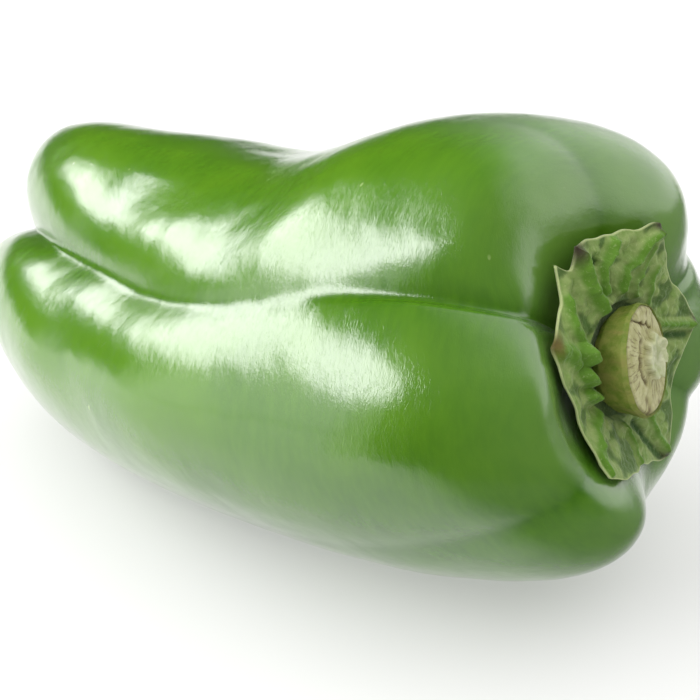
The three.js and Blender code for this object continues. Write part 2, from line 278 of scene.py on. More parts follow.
def outward_normals(grid):
    long = np.gradient(grid, axis=0)
    wide = (np.roll(grid, -1, 1) - np.roll(grid, 1, 1)) / 2
    normals = np.cross(long, wide)
    normals /= np.linalg.norm(normals, axis=-1, keepdims=True) + 1e-12
    middle = grid.mean((0, 1))
    return normals if ((grid - middle) * normals).sum() > 0 else -normals


def body_of_rows(first_point, rows, last_point):
    """The points and faces of a closed body: rows of points that go round between a point at either end."""
    row_count, column_count = rows.shape[:2]
    points = np.concatenate([[first_point], rows.reshape(-1, 3), [last_point]])
    at = 1 + np.arange(row_count * column_count).reshape(row_count, column_count)
    beside = np.roll(at, -1, 1)
    quads = np.stack([at[:-1], at[1:], beside[1:], beside[:-1]], -1).reshape(-1, 4)
    caps = [(0, a, b) for a, b in zip(at[0], beside[0])]
    caps += [(len(points) - 1, b, a) for a, b in zip(at[-1], beside[-1])]
    return points, quads.tolist() + caps


def smooth_piece(name, points, faces, values, material):
    """A smooth-shaded mesh object with one named attribute for each entry of values."""
    mesh = bpy.data.meshes.new(name)
    mesh.from_pydata(points.tolist(), [], faces)
    for label, numbers in values.items():
        kind, field = ("FLOAT", "value") if numbers.ndim == 1 else ("FLOAT_VECTOR", "vector")
        layer = mesh.attributes.new(label, kind, "POINT")
        layer.data.foreach_set(field, np.ascontiguousarray(numbers, np.float32).ravel())
    mesh.polygons.foreach_set("use_smooth", [True] * len(mesh.polygons))
    mesh.materials.append(material)
    mesh.update()
    piece = bpy.data.objects.new(name, mesh)
    bpy.context.scene.collection.objects.link(piece)
    return piece


section = np.linspace(0, pi, SKIN_ROWS + 2)[:, None] + np.zeros((1, SKIN_COLUMNS))
turn = np.linspace(0, 360, SKIN_COLUMNS, endpoint=False)[None, :] + np.zeros((SKIN_ROWS + 2, 1))
skin, crease_closeness, skin_place = skin_points(section, turn)
skin = evened(skin, SKIN_EVEN_ROUND, 1, True)
skin = evened(skin, SKIN_EVEN_LONG, 0, False)
skin_normals = outward_normals(skin)
swelling = swells(skin, turn)
for wave in SKIN_WAVES:
    swelling += wave["height"] * waves(skin, wave["length"], wave["count"], wave["seed"])
skin = skin + skin_normals * swelling[..., None]
outward = Vector((1, -STEM_END_LEAN_Y, -STEM_END_LEAN_Z)).normalized()
upward = (Vector((0, 0, 1)) - outward * outward.z).normalized()
frontward = outward.cross(upward)
seat_middle = Vector((MIDDLE_X + HALF_LENGTH - STEM_HOLLOW["depth"], AXIS_Y[0], AXIS_Z[0]))
seat_middle = seat_middle + outward * SEAT_OUT + upward * SEAT_UP + frontward * SEAT_FRONT
from_seat = skin - np.array(seat_middle)
seat_up = from_seat @ np.array(upward)
seat_front = from_seat @ np.array(frontward)
seat_reach = np.hypot(seat_up, seat_front)
at_stem_end = 1 - smoothstep(skin_place, *STEM_END_PLACES)
collar_side = (COLLAR["up"] * seat_up + COLLAR["front"] * seat_front) / (seat_reach + 1e-6)
collar = np.exp(-(((seat_reach - COLLAR["reach"]) / COLLAR["width"]) ** 2))
collar = collar * smoothstep(collar_side, *COLLAR_SIDES)
skin = skin + np.array(outward) * (COLLAR["height"] * collar * at_stem_end)[..., None]
# Painted reflection: how much pale veil lies round the calyx, less in the creases
painted_veil = (1 - smoothstep(seat_reach, PAINTED_VEIL_FROM, PAINTED_VEIL_TO)) * at_stem_end * (1 - crease_closeness)
skin[0] = skin[0].mean(0)
skin[-1] = skin[-1].mean(0)
skin[..., 2] = np.maximum(skin[..., 2], 0)
fruit_points, fruit_faces = body_of_rows(skin[0, 0], skin[1:-1], skin[-1, 0])


def over_body(grid):
    """The grid's values in the order of the points of its body."""
    return np.concatenate([grid[:1, 0], grid[1:-1].reshape((-1,) + grid.shape[2:]), grid[-1:, 0]])


step = np.linalg.norm(np.diff(skin, axis=0), axis=-1).mean(1)
run = np.concatenate([[0], np.cumsum(step)])[:, None] + np.zeros((1, SKIN_COLUMNS))
turn_radians = np.radians(turn)
girth = np.stack([run, SKIN_MEAN_RADIUS * np.cos(turn_radians), SKIN_MEAN_RADIUS * np.sin(turn_radians)], -1)


def fill(tree, socket, value):
    """Join a socket to another socket, or give it a value."""
    if isinstance(value, bpy.types.NodeSocket):
        tree.links.new(value, socket)
    else:
        socket.default_value = value


def fill_all(tree, node, **sockets):
    """Fill sockets of a node, each given by its name with _ for a space."""
    for name, value in sockets.items():
        fill(tree, node.inputs[name.replace("_", " ")], value)


def add(tree, kind, settings=None, **sockets):
    """A new node with its settings and its filled sockets."""
    node = tree.nodes.new(kind)
    for name, value in (settings or {}).items():
        setattr(node, name, value)
    fill_all(tree, node, **sockets)
    return node


def maths(tree, operation, *values):
    node = add(tree, "ShaderNodeMath", {"operation": operation})
    for socket, value in zip(node.inputs, values):
        fill(tree, socket, value)
    return node.outputs[0]


def vector_maths(tree, operation, vector, factors):
    """A vector joined with three constant factors, by an operation on vectors."""
    node = add(tree, "ShaderNodeVectorMath", {"operation": operation})
    fill(tree, node.inputs[0], vector)
    fill(tree, node.inputs[1], factors)
    return node


def scaled(tree, vector, factors):
    return vector_maths(tree, "MULTIPLY", vector, factors).outputs["Vector"]


def noise(tree, vector, scale, detail=2.0, roughness=0.5, distortion=0.0):
    node = add(tree, "ShaderNodeTexNoise", None, Vector=vector, Scale=scale, Detail=detail,
               Roughness=roughness, Distortion=distortion)
    return node.outputs["Factor"] if "Factor" in node.outputs else node.outputs["Fac"]


def ranged(tree, value, low, high, to_low=0.0, to_high=1.0):
    node = add(tree, "ShaderNodeMapRange", {"interpolation_type": "SMOOTHSTEP"}, Value=value, From_Min=low,
               From_Max=high, To_Min=to_low, To_Max=to_high)
    return node.outputs["Result"]


def mixed(tree, factor, first, second):
    node = add(tree, "ShaderNodeMix", {"data_type": "RGBA"})
    for index, value in ((0, factor), (6, first), (7, second)):
        fill(tree, node.inputs[index], value)
    return node.outputs[2]


def bumped(tree, height, distance, normal=None):
    node = add(tree, "ShaderNodeBump", None, Height=height, Distance=distance, Strength=1.0)
    if normal is not None:
        tree.links.new(normal, node.inputs["Normal"])
    return node.outputs["Normal"]


def attribute(tree, name):
    node = tree.nodes.new("ShaderNodeAttribute")
    node.attribute_name = name
    return node


def colour(red, green, blue):
    """A linear colour from display values of 0 to 255."""
    shares = [value / 255 for value in (red, green, blue)]
    linear = [s / 12.92 if s <= 0.04045 else ((s + 0.055) / 1.055) ** 2.4 for s in shares]
    return (*linear, 1.0)


def new_finish(name):
    """A new material with its node tree and its shader, joined to the output."""
    material = bpy.data.materials.new(name)
    material.use_nodes = True
    tree = material.node_tree
    shader = tree.nodes["Principled BSDF"]
    return material, tree, shader


SKIN_GREEN = colour(68, 115, 10)
SKIN_YELLOW_GREEN = colour(84, 130, 13)
SKIN_DEEP_GREEN = colour(50, 96, 8)
# Painted shade: a darker green laid into the creases, where shade falls
SKIN_PAINTED_CREASE_SHADE = colour(46, 92, 10)
SKIN_SPECK = colour(170, 190, 120)
# Painted reflection: the pale veil round the calyx
SKIN_PAINTED_VEIL = colour(116, 148, 88)
# The crease share is how strongly the painted shade darkens the creases
SKIN_SHARES = {"crease": 0.6, "speck": 0.5, "painted_veil": 0.3}
SKIN_RELIEF = {"swell": 0.00009, "peel": 0.000035, "fibres": 0.000024}


def waxed_skin():
    material, tree, shader = new_finish("waxed green skin")
    place = attribute(tree, "girth").outputs["Vector"]
    body = tree.nodes.new("ShaderNodeTexCoord").outputs["Object"]
    crease = attribute(tree, "crease").outputs["Fac"]
    patches = ranged(tree, noise(tree, body, 42, 3, 0.5), 0.35, 0.65)
    deep = ranged(tree, noise(tree, body, 19, 2, 0.5), 0.52, 0.72)
    grain = noise(tree, scaled(tree, place, (900, 260, 260)), 1.0, 3, 0.6)
    base = mixed(tree, patches, SKIN_GREEN, SKIN_YELLOW_GREEN)
    base = mixed(tree, deep, base, SKIN_DEEP_GREEN)
    # Painted shade: the skin is darkened towards the creases
    base = mixed(tree, maths(tree, "MULTIPLY", crease, SKIN_SHARES["crease"]), base, SKIN_PAINTED_CREASE_SHADE)
    base = mixed(tree, ranged(tree, grain, 0.3, 0.75, 0.0, 0.35), base, SKIN_YELLOW_GREEN)
    cells = add(tree, "ShaderNodeTexVoronoi", {"feature": "F1"}, Vector=scaled(tree, place, (260, 170, 170)),
                Scale=1.0, Randomness=1.0)
    speck = ranged(tree, cells.outputs["Distance"], 0.05, 0.1, 1.0, 0.0)
    chosen = ranged(tree, noise(tree, body, 120, 1), 0.6, 0.68)
    specked = maths(tree, "MULTIPLY", maths(tree, "MULTIPLY", speck, chosen), SKIN_SHARES["speck"])
    base = mixed(tree, specked, base, SKIN_SPECK)
    # Painted reflection: the pale veil round the calyx, mixed into the skin's colour
    veil_share = maths(tree, "MULTIPLY", attribute(tree, "painted_veil").outputs["Fac"], SKIN_SHARES["painted_veil"])
    base = mixed(tree, veil_share, base, SKIN_PAINTED_VEIL)

    fibres = noise(tree, scaled(tree, place, (2600, 1100, 1100)), 1.0, 3, 0.6, 1.6)
    peel = noise(tree, scaled(tree, place, (620, 420, 420)), 1.0, 2, 0.5)
    swell = noise(tree, scaled(tree, place, (190, 110, 110)), 1.0, 2, 0.5)
    normal = bumped(tree, swell, SKIN_RELIEF["swell"])
    normal = bumped(tree, peel, SKIN_RELIEF["peel"], normal)
    normal = bumped(tree, fibres, SKIN_RELIEF["fibres"], normal)
    fill_all(tree, shader, Base_Color=base, Normal=normal, Roughness=0.24, IOR=1.5,
             Coat_Weight=1.0, Coat_IOR=1.65, Coat_Roughness=0.08, Coat_Normal=normal,
             Subsurface_Weight=0.12, Subsurface_Radius=(0.6, 1.0, 0.25), Subsurface_Scale=0.003)
    return material


fruit_values = {"girth": over_body(girth), "crease": over_body(crease_closeness), "painted_veil": over_body(painted_veil)}
fruit = smooth_piece("fruit_skin", fruit_points, fruit_faces, fruit_values, waxed_skin())
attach(fruit, "root")
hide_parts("fruit")

# Calyx
# The leafy green cap, grown to the fruit round the stem: thin and puckered, with drying points, a pale rim
# and swollen green ribs on a paler, velvety ground. It lies over the hollow of the stem end.
# Its rim, from the top point over the back: each point and the hollow edge after it, as angle, reach, height
CALYX_RIM = [
    (20, 0.021, 0.0048), (-5, 0.0186, 0.0052),
    (-29, 0.0198, 0.0076), (-57, 0.0152, 0.0064),
    (-93, 0.0188, 0.0064), (-123, 0.015, 0.0052),
    (-156, 0.021, 0.006), (-192, 0.0156, 0.008),
    (-229, 0.0174, 0.0098), (-262, 0.0146, 0.0072),
    (-297, 0.018, 0.0056), (-318, 0.0162, 0.004),
    (-330, 0.0202, 0.0034), (-334, 0.0184, 0.0042),
]
CALYX_POINT_SHARPNESS = 1.7
CALYX_CLEARANCE = 0.0005
CALYX_BLADE_HEART = 0.0014
CALYX_BLADE_RIM = 0.0004
CALYX_HEART_HEIGHT = 0.0052
CALYX_DISHING = 1.3
CALYX_BOSS_RADIUS = 0.0082
CALYX_BOSS_HEIGHT = 0.0042
CALYX_SHOULDER = 0.0005
CALYX_RINGS = 60
CALYX_COLUMNS = 600
CALYX_EDGE_WAVES = {"height": 0.00028, "length": 0.0042, "count": 30, "seed": 21}
PROBE = 0.001
# The ribs and the blistered knobs: height, half width, and the way over the seat, as up and front
CALYX_RIBS = [
    (0.0016, 0.0010,
     [(0.0187, 0.0068), (0.0156, 0.0062), (0.0126, 0.0053), (0.0106, 0.004), (0.0088, 0.0032)]),
    (0.0015, 0.0009,
     [(0.018, -0.0009), (0.0162, 0.0006), (0.0149, 0.0027), (0.0133, 0.0031), (0.0115, 0.0029)]),
    (0.0014, 0.0009,
     [(0.0161, -0.0092), (0.0152, -0.0065), (0.0136, -0.005), (0.0128, -0.0022), (0.0106, -0.0011)]),
    (0.0007, 0.0006, [(0.0143, -0.0083), (0.0115, -0.0059), (0.0102, -0.0042), (0.0081, -0.0045)]),
    (0.0009, 0.0007, [(-0.0014, -0.0185), (0.0005, -0.0132), (0.0015, -0.0105)]),
    (0.0012, 0.0009, [(0.0127, 0.0097), (0.0102, 0.0099), (0.0083, 0.0101), (0.0064, 0.0091)]),
    (0.0031, 0.0014, [(0.0052, 0.0096), (0.0042, 0.0092)]),
    (0.0013, 0.0014, [(0.0073, 0.0152), (0.0063, 0.0127), (0.0042, 0.0112)]),
    (0.0026, 0.0011, [(0.0024, 0.0104), (0.0008, 0.0093)]),
    (0.0022, 0.0010, [(-0.001, 0.01), (-0.0018, 0.0088)]),
    (0.0012, 0.0013, [(-0.0109, 0.0134), (-0.0082, 0.0125), (-0.0061, 0.0104), (-0.0047, 0.0073)]),
    (0.0009, 0.0006, [(-0.0151, 0.0025), (-0.0121, 0.002), (-0.0089, 0.0022)]),
    (0.0009, 0.0008, [(-0.0192, -0.0085), (-0.014, -0.006), (-0.0095, -0.0045)]),
    (0.0008, 0.0008, [(0.0108, -0.0092), (0.009, -0.0078), (0.006, -0.0076)]),
    (0.0007, 0.0007, [(-0.0095, -0.0095), (-0.0065, -0.0085)]),
]
CALYX_VALLEYS = [
    (-0.0008, 0.0009, [(-0.0189, -0.0066), (-0.0144, -0.0033), (-0.0106, -0.0011)]),
    (-0.0007, 0.0008, [(-0.0022, -0.016), (-0.0008, -0.0118)]),
    (-0.0007, 0.0007, [(0.0165, 0.0038), (0.013, 0.0012), (0.0105, 0.0008)]),
]
CALYX_PUCKERS = {"count": 260, "seed": 11, "reach": 0.0205, "height": 0.0005, "radius": 0.0009}
CALYX_RIPPLES = [
    {"height": 0.00015, "length": 0.0023, "count": 40, "seed": 12},
    {"height": 0.00006, "length": 0.0009, "count": 40, "seed": 13},
]
# Where each kind of relief or mark fades in or out, as shares of the way from the stem to the rim
CALYX_FADES = {"heart": (0, 0.06), "blisters": (0.8, 1), "ribs": (0.9, 1), "tips": (0.84, 0.97),
               "scar": (0.8, 0.95)}
RIB_FULL_HEIGHT = 0.0015
RIB_CLEAR_HEIGHT = 0.0006
PROBE_START = 0.06

fruit_shape = BVHTree.FromPolygons(fruit_points.tolist(), fruit_faces)


def seat_points(up, front, height):
    """Points over the seat, from how far they are up, to the front and out from its middle."""
    ways = [np.asarray(amount)[..., None] * np.array(way) for amount, way in
            ((up, upward), (front, frontward), (height, outward))]
    return np.array(seat_middle) + ways[0] + ways[1] + ways[2]


def skin_heights(up, front):
    """The heights of the skin over the seat, each as the highest of five places close together."""
    highest = np.full(up.shape, -PROBE_START)
    for higher, further in ((0, 0), (PROBE, 0), (-PROBE, 0), (0, PROBE), (0, -PROBE)):
        starts = seat_points(up + higher, front + further, np.full(up.shape, PROBE_START))
        for at in np.ndindex(up.shape):
            hit = fruit_shape.ray_cast(Vector(starts[at]), -outward)
            if hit[0] is not None:
                highest[at] = max(highest[at], PROBE_START - hit[3])
    return highest


def calyx_rim(angle):
    """The reach and the height of the rim at an angle."""
    count = len(CALYX_RIM)
    for index in range(count):
        start = CALYX_RIM[index]
        end = CALYX_RIM[(index + 1) % count]
        span = (start[0] - end[0]) % 360
        passed = (start[0] - angle) % 360
        if passed < span:
            break
    leaves_point = index % 2 == 0
    point, edge = (start, end) if leaves_point else (end, start)
    share = passed / span if leaves_point else 1 - passed / span
    reach = edge[1] + (point[1] - edge[1]) * (1 - share) ** CALYX_POINT_SHARPNESS
    height = lerp(point[2], edge[2], float(smoothstep(share, 0, 1)))
    return reach, height


def to_way(up, front, way):
    """How far each place is from a way of straight stretches."""
    nearest = np.full(up.shape, 1.0)
    for (up_a, front_a), (up_b, front_b) in zip(way[:-1], way[1:]):
        along_up = up_b - up_a
        along_front = front_b - front_a
        share = ((up - up_a) * along_up + (front - front_a) * along_front) / (along_up**2 + along_front**2)
        share = np.clip(share, 0, 1)
        gap = np.hypot(up - up_a - share * along_up, front - front_a - share * along_front)
        nearest = np.minimum(nearest, gap)
    return nearest


def swollen(up, front, ways):
    """The height of a set of ribs, rounded across and strongest where they lie."""
    total = np.zeros(up.shape)
    for height, half_width, way in ways:
        rise = height * np.exp(-((to_way(up, front, way) / half_width) ** 2))
        total = np.where(np.abs(rise) > np.abs(total), rise, total)
    return total


def puckers(up, front):
    """The small blisters between the ribs, at random places."""
    draw = np.random.default_rng(CALYX_PUCKERS["seed"])
    total = np.zeros(up.shape)
    for _ in range(CALYX_PUCKERS["count"]):
        reach = CALYX_PUCKERS["reach"] * np.sqrt(draw.uniform(0.1, 1))
        angle = draw.uniform(0, 2 * pi)
        radius = CALYX_PUCKERS["radius"] * draw.uniform(0.6, 1.3)
        gap = np.hypot(up - reach * cos(angle), front - reach * sin(angle))
        rise = CALYX_PUCKERS["height"] * draw.uniform(0.4, 1) * np.exp(-((gap / radius) ** 2))
        total = np.maximum(total, rise)
    return total


CALYX_RIB_GREEN = colour(86, 128, 28)
CALYX_GROUND = colour(134, 154, 88)
CALYX_PAINTED_VALLEY_SHADE = colour(48, 84, 20)
# Painted shade: a dark green laid into the low places and valleys of the leaf, where shade falls
CALYX_PALE = colour(186, 196, 140)
CALYX_DRY = colour(44, 34, 14)
CALYX_SCAR = colour(84, 72, 22)


def velvet_leaf():
    material, tree, shader = new_finish("puckered leaf")
    body = tree.nodes.new("ShaderNodeTexCoord").outputs["Object"]
    rim = attribute(tree, "rim").outputs["Fac"]
    rib = attribute(tree, "rib").outputs["Fac"]
    pucker = attribute(tree, "pucker").outputs["Fac"]
    tip = attribute(tree, "tip").outputs["Fac"]
    scar = attribute(tree, "scar").outputs["Fac"]
    mottle = noise(tree, body, 520, 4, 0.65)
    fine = noise(tree, body, 2400, 3, 0.7)
    ground = mixed(tree, ranged(tree, mottle, 0.35, 0.68, 0.0, 0.55), CALYX_GROUND, CALYX_RIB_GREEN)
    # Painted shade: the low ground between the blisters and ribs, and the valleys, are darkened
    base = mixed(tree, ranged(tree, pucker, 0.0, 0.22, 0.75, 0.0), ground, CALYX_PAINTED_VALLEY_SHADE)
    base = mixed(tree, ranged(tree, rib, 0.15, 0.6), base, CALYX_RIB_GREEN)
    base = mixed(tree, ranged(tree, rib, -0.1, -0.5), base, CALYX_PAINTED_VALLEY_SHADE)
    base = mixed(tree, ranged(tree, fine, 0.55, 0.8, 0.0, 0.45), base, CALYX_PALE)
    base = mixed(tree, ranged(tree, rim, 0.965, 1.0, 0.0, 0.75), base, CALYX_PALE)
    base = mixed(tree, scar, base, CALYX_SCAR)
    base = mixed(tree, tip, base, CALYX_DRY)
    crumple = noise(tree, body, 1300, 3, 0.6)
    normal = bumped(tree, crumple, 0.00016)
    normal = bumped(tree, fine, 0.00008, normal)
    fill_all(tree, shader, Base_Color=base, Normal=normal, Roughness=0.58, IOR=1.4,
             Sheen_Weight=0.3, Sheen_Roughness=0.4, Sheen_Tint=(0.8, 0.9, 0.65, 1),
             Subsurface_Weight=0.1, Subsurface_Radius=(0.6, 1.0, 0.3), Subsurface_Scale=0.001)
    return material


TIP_SPREAD = 4.5
DRY_POINTS = (20, -29, -93, -156)
SCAR_PLACE = {"angle": -299, "spread": 6.0}
column_angles = -360 * np.arange(CALYX_COLUMNS) / CALYX_COLUMNS
rim_lines = np.array([calyx_rim(angle) for angle in column_angles])
ring_up = np.cos(np.radians(column_angles))
ring_front = np.sin(np.radians(column_angles))
rim_ring = rim_lines[:, :1] * np.stack([ring_up, ring_front], -1)
rim_ring = np.concatenate([rim_ring, np.zeros((CALYX_COLUMNS, 1))], -1)
edge = CALYX_EDGE_WAVES
rim_reach = rim_lines[:, 0] + edge["height"] * waves(rim_ring, edge["length"], edge["count"], edge["seed"])
outness = np.linspace(0, 1, CALYX_RINGS + 1)[:, None]
radius = lerp(CALYX_BOSS_RADIUS + CALYX_SHOULDER, rim_reach[None, :], outness)
up = radius * ring_up
front = radius * ring_front
rib_height = swollen(up, front, CALYX_RIBS + CALYX_VALLEYS)
pucker_height = puckers(up, front)
flat_places = np.stack([up, front, np.zeros(up.shape)], -1)
ripple = sum(w["height"] * waves(flat_places, w["length"], w["count"], w["seed"]) for w in CALYX_RIPPLES)
fades = {name: smoothstep(outness, *places) for name, places in CALYX_FADES.items()}
relief = rib_height * (1 - fades["ribs"]) + (pucker_height + ripple) * (1 - fades["blisters"])
relief = relief * fades["heart"]
blade = lerp(CALYX_BLADE_HEART, CALYX_BLADE_RIM, outness)
dish = lerp(CALYX_HEART_HEIGHT, rim_lines[None, :, 1], outness**CALYX_DISHING)
floor_height = skin_heights(up, front) + CALYX_CLEARANCE
under_height = np.maximum(floor_height, dish - blade)
upper_height = under_height + np.maximum(blade + relief, CALYX_BLADE_RIM / 2)

boss_rows = []
boss_tops = []
for boss_radius in (CALYX_BOSS_RADIUS / 2, CALYX_BOSS_RADIUS):
    boss_up = boss_radius * ring_up
    boss_front = boss_radius * ring_front
    boss_rows.append(seat_points(boss_up, boss_front, skin_heights(boss_up, boss_front) + CALYX_CLEARANCE))
    boss_tops.append(seat_points(boss_up, boss_front, np.full(boss_up.shape, CALYX_BOSS_HEIGHT)))
under_rows = np.concatenate([boss_rows, seat_points(up, front, under_height)])
upper_rows = np.concatenate([boss_tops, seat_points(up, front, upper_height)])[::-1]
calyx_rows = np.concatenate([under_rows, upper_rows])
lowest = seat_points(0.0, 0.0, skin_heights(np.zeros(1), np.zeros(1))[0] + CALYX_CLEARANCE)
highest = seat_points(0.0, 0.0, CALYX_BOSS_HEIGHT)
calyx_points, calyx_faces = body_of_rows(lowest, calyx_rows, highest)


def away(angle):
    """How many degrees each column is from an angle."""
    return np.abs((column_angles - angle + 180) % 360 - 180)[None, :]


dry_tips = sum(np.exp(-((away(angle) / TIP_SPREAD) ** 2)) for angle in DRY_POINTS)
scarred = np.exp(-((away(SCAR_PLACE["angle"]) / SCAR_PLACE["spread"]) ** 2))
marks = {
    "rim": outness + 0 * up,
    "rib": rib_height / RIB_FULL_HEIGHT,
    # How raised each place is, by blister or rib; the low places get the painted valley shade
    "pucker": pucker_height / CALYX_PUCKERS["height"] + np.abs(rib_height) / RIB_CLEAR_HEIGHT,
    "tip": np.clip(dry_tips, 0, 1) * fades["tips"],
    "scar": scarred * fades["scar"],
}
calyx_values = {}
for label, grid in marks.items():
    ring_rows = np.concatenate([np.zeros((2, CALYX_COLUMNS)), grid])
    calyx_values[label] = np.concatenate([[0], ring_rows.ravel(), ring_rows[::-1].ravel(), [0]])
calyx = smooth_piece("calyx_leaf", calyx_points, calyx_faces, calyx_values, velvet_leaf())
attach(calyx, "root")
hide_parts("calyx")

# Stem
# The short woody stub that the pepper hung from, cut off at a slant. Its cut shows straw-coloured fibres in a
# ring round the paler pith, which stands up, with a crack and a bevel where the blade went in.
STEM_GAP = 0.0003
STEM_FOOT = (0.0076, 0.0068)
STEM_CUT = {"up": 0.0083, "front": 0.0076, "height": 0.0092, "middle_up": 0.0002, "middle_front": -0.0006,
            "slant_up": 0.1, "slant_front": -0.22}
# The side of the stub from its foot to its cut, each ring with its share of the way and its swell
STEM_SIDE = [(0, 0.92), (0.2, 0.99), (0.5, 0.98), (0.85, 1.0), (1, 0.95)]
CUT_WANDER = {"height": 0.00022, "length": 0.0016, "count": 30, "seed": 31}
STEM_SIDES = 240
STEM_STEPS = 14
STEM_CUT_RINGS = 44
STEM_FLUTES = {"swell": 0.012, "count": 11}
PITH = {"up": -0.0002, "front": -0.0021, "radius": 0.0034, "height": 0.0011, "softness": 0.0006,
        "hollow": 0.0004, "hollow_from": 0.0008, "hollow_to": 0.0026, "wobble": 0.0003, "scallops": (7, 13)}
# How wide each mark of the cut is to either side, how far it stands up and how dark it is
CUT_WIDTHS = {"groove": 0.0004, "crack": 0.00022, "bevel": 0.0009, "knob": 0.0007, "spot": 0.0006}
CUT_RISES = {"groove": -0.0004, "crack": -0.0005, "bevel": 0.0003, "knob": 0.0005, "edge": -0.0005}
CUT_DARKNESS = {"groove": 0.8, "spot": 0.7, "edge": 0.35}
# The swells between which the cut drops at its edge and between which the edge darkens, and the shares of
# the way up the side between which that side darkens
CUT_EDGE_DROPS = (0.86, 0.95)
CUT_EDGE_DARKENS = (0.88, 0.94)
STEM_SIDE_DARKENS = (0.9, 1)
# The grain runs out from the pith over the cut and along the side of the stub
SPOKE_RADIUS = 0.006
SPOKE_START = 0.01
CUT_CRACK = [(0.0069, 0.0058), (0.0072, 0.003), (0.004, -0.003)]
CUT_GROOVE = [(0.0035, 0.0008), (0.0016, 0.0022), (-0.0003, 0.0028), (-0.0026, 0.002)]
CUT_BEVEL = [(0.0088, 0.0054), (0.0084, 0.0003), (0.0062, -0.0042)]
CUT_KNOB = [(0.0013, -0.0045), (-0.0006, -0.0062)]
CUT_SPOTS = [(-0.0048, 0.003), (-0.0064, 0.0024), (-0.007, -0.0012)]


def stem_places(share, swell):
    """A ring of the stub, between its foot and its cut, as up, front and height over the seat."""
    angle = -2 * pi * np.arange(STEM_SIDES) / STEM_SIDES
    cut_up = STEM_CUT["up"] * swell * np.cos(angle)
    cut_front = STEM_CUT["front"] * swell * np.sin(angle)
    cut_height = STEM_CUT["height"] - STEM_CUT["slant_up"] * cut_up - STEM_CUT["slant_front"] * cut_front
    up = lerp(STEM_FOOT[0] * swell * np.cos(angle), STEM_CUT["middle_up"] + cut_up, share)
    front = lerp(STEM_FOOT[1] * swell * np.sin(angle), STEM_CUT["middle_front"] + cut_front, share)
    return up, front, lerp(CALYX_BOSS_HEIGHT + STEM_GAP, cut_height, share), cut_up, cut_front


def cut_relief(up, front, swell):
    """The height of the cut over its plane, and how much of each place is pith, groove and crack."""
    places = np.stack([up, front, np.zeros(up.shape)], -1)
    wander = CUT_WANDER
    up = up + wander["height"] * waves(places, wander["length"], wander["count"], wander["seed"])
    front = front + wander["height"] * waves(places, wander["length"], wander["count"], wander["seed"] + 1)
    turn_round_pith = np.arctan2(front - PITH["front"], up - PITH["up"])
    few, many = PITH["scallops"]
    scallop = np.sin(few * turn_round_pith) + np.sin(many * turn_round_pith + 1) / 2
    from_pith = np.hypot(up - PITH["up"], front - PITH["front"]) + PITH["wobble"] * scallop
    pith = 1 - smoothstep(from_pith, PITH["radius"] - PITH["softness"], PITH["radius"])
    hollow = 1 - smoothstep(from_pith, PITH["hollow_from"], PITH["hollow_to"])
    near = {"edge": smoothstep(swell, *CUT_EDGE_DROPS)}
    for name, way in (("groove", CUT_GROOVE), ("crack", CUT_CRACK), ("bevel", CUT_BEVEL), ("knob", CUT_KNOB)):
        near[name] = np.exp(-((to_way(up, front, way) / CUT_WIDTHS[name]) ** 2))
    height = PITH["height"] * pith - PITH["hollow"] * hollow
    height = height + sum(rise * near[name] for name, rise in CUT_RISES.items())
    return height, pith, near["groove"], near["crack"]


def woody_stub():
    material, tree, shader = new_finish("woody stem")
    body = tree.nodes.new("ShaderNodeTexCoord").outputs["Object"]
    cut = attribute(tree, "cut").outputs["Fac"]
    pith = attribute(tree, "pith").outputs["Fac"]
    dark = attribute(tree, "dark").outputs["Fac"]
    spokes = attribute(tree, "spokes").outputs["Vector"]
    mottle = noise(tree, body, 420, 4, 0.65)
    side = mixed(tree, ranged(tree, mottle, 0.35, 0.65), colour(96, 118, 34), colour(128, 134, 62))
    grain = noise(tree, scaled(tree, spokes, (160, 900, 900)), 1.0, 3, 0.6)
    side = mixed(tree, ranged(tree, grain, 0.5, 0.75, 0.0, 0.5), side, colour(140, 126, 74))
    fibres = noise(tree, scaled(tree, spokes, (420, 2600, 2600)), 1.0, 3, 0.65)
    face = mixed(tree, ranged(tree, mottle, 0.3, 0.7), colour(196, 194, 150), colour(168, 166, 112))
    face = mixed(tree, ranged(tree, fibres, 0.5, 0.68, 0.0, 0.8), face, colour(112, 98, 56))
    core = mixed(tree, ranged(tree, mottle, 0.35, 0.65), colour(206, 208, 174), colour(178, 186, 138))
    face = mixed(tree, pith, face, core)
    face = mixed(tree, dark, face, colour(92, 74, 40))
    base = mixed(tree, cut, side, face)
    normal = bumped(tree, noise(tree, body, 1500, 4, 0.6), 0.00016)
    normal = bumped(tree, fibres, 0.00012, normal)
    fill_all(tree, shader, Base_Color=base, Normal=normal, Roughness=0.6, IOR=1.4,
             Subsurface_Weight=0.1, Subsurface_Radius=(1.0, 0.9, 0.5), Subsurface_Scale=0.0008)
    return material


flute = np.sin(STEM_FLUTES["count"] * 2 * pi * np.arange(STEM_SIDES) / STEM_SIDES)
stem_rows = []
stem_marks = {"cut": [], "pith": [], "dark": []}
stem_spokes = []


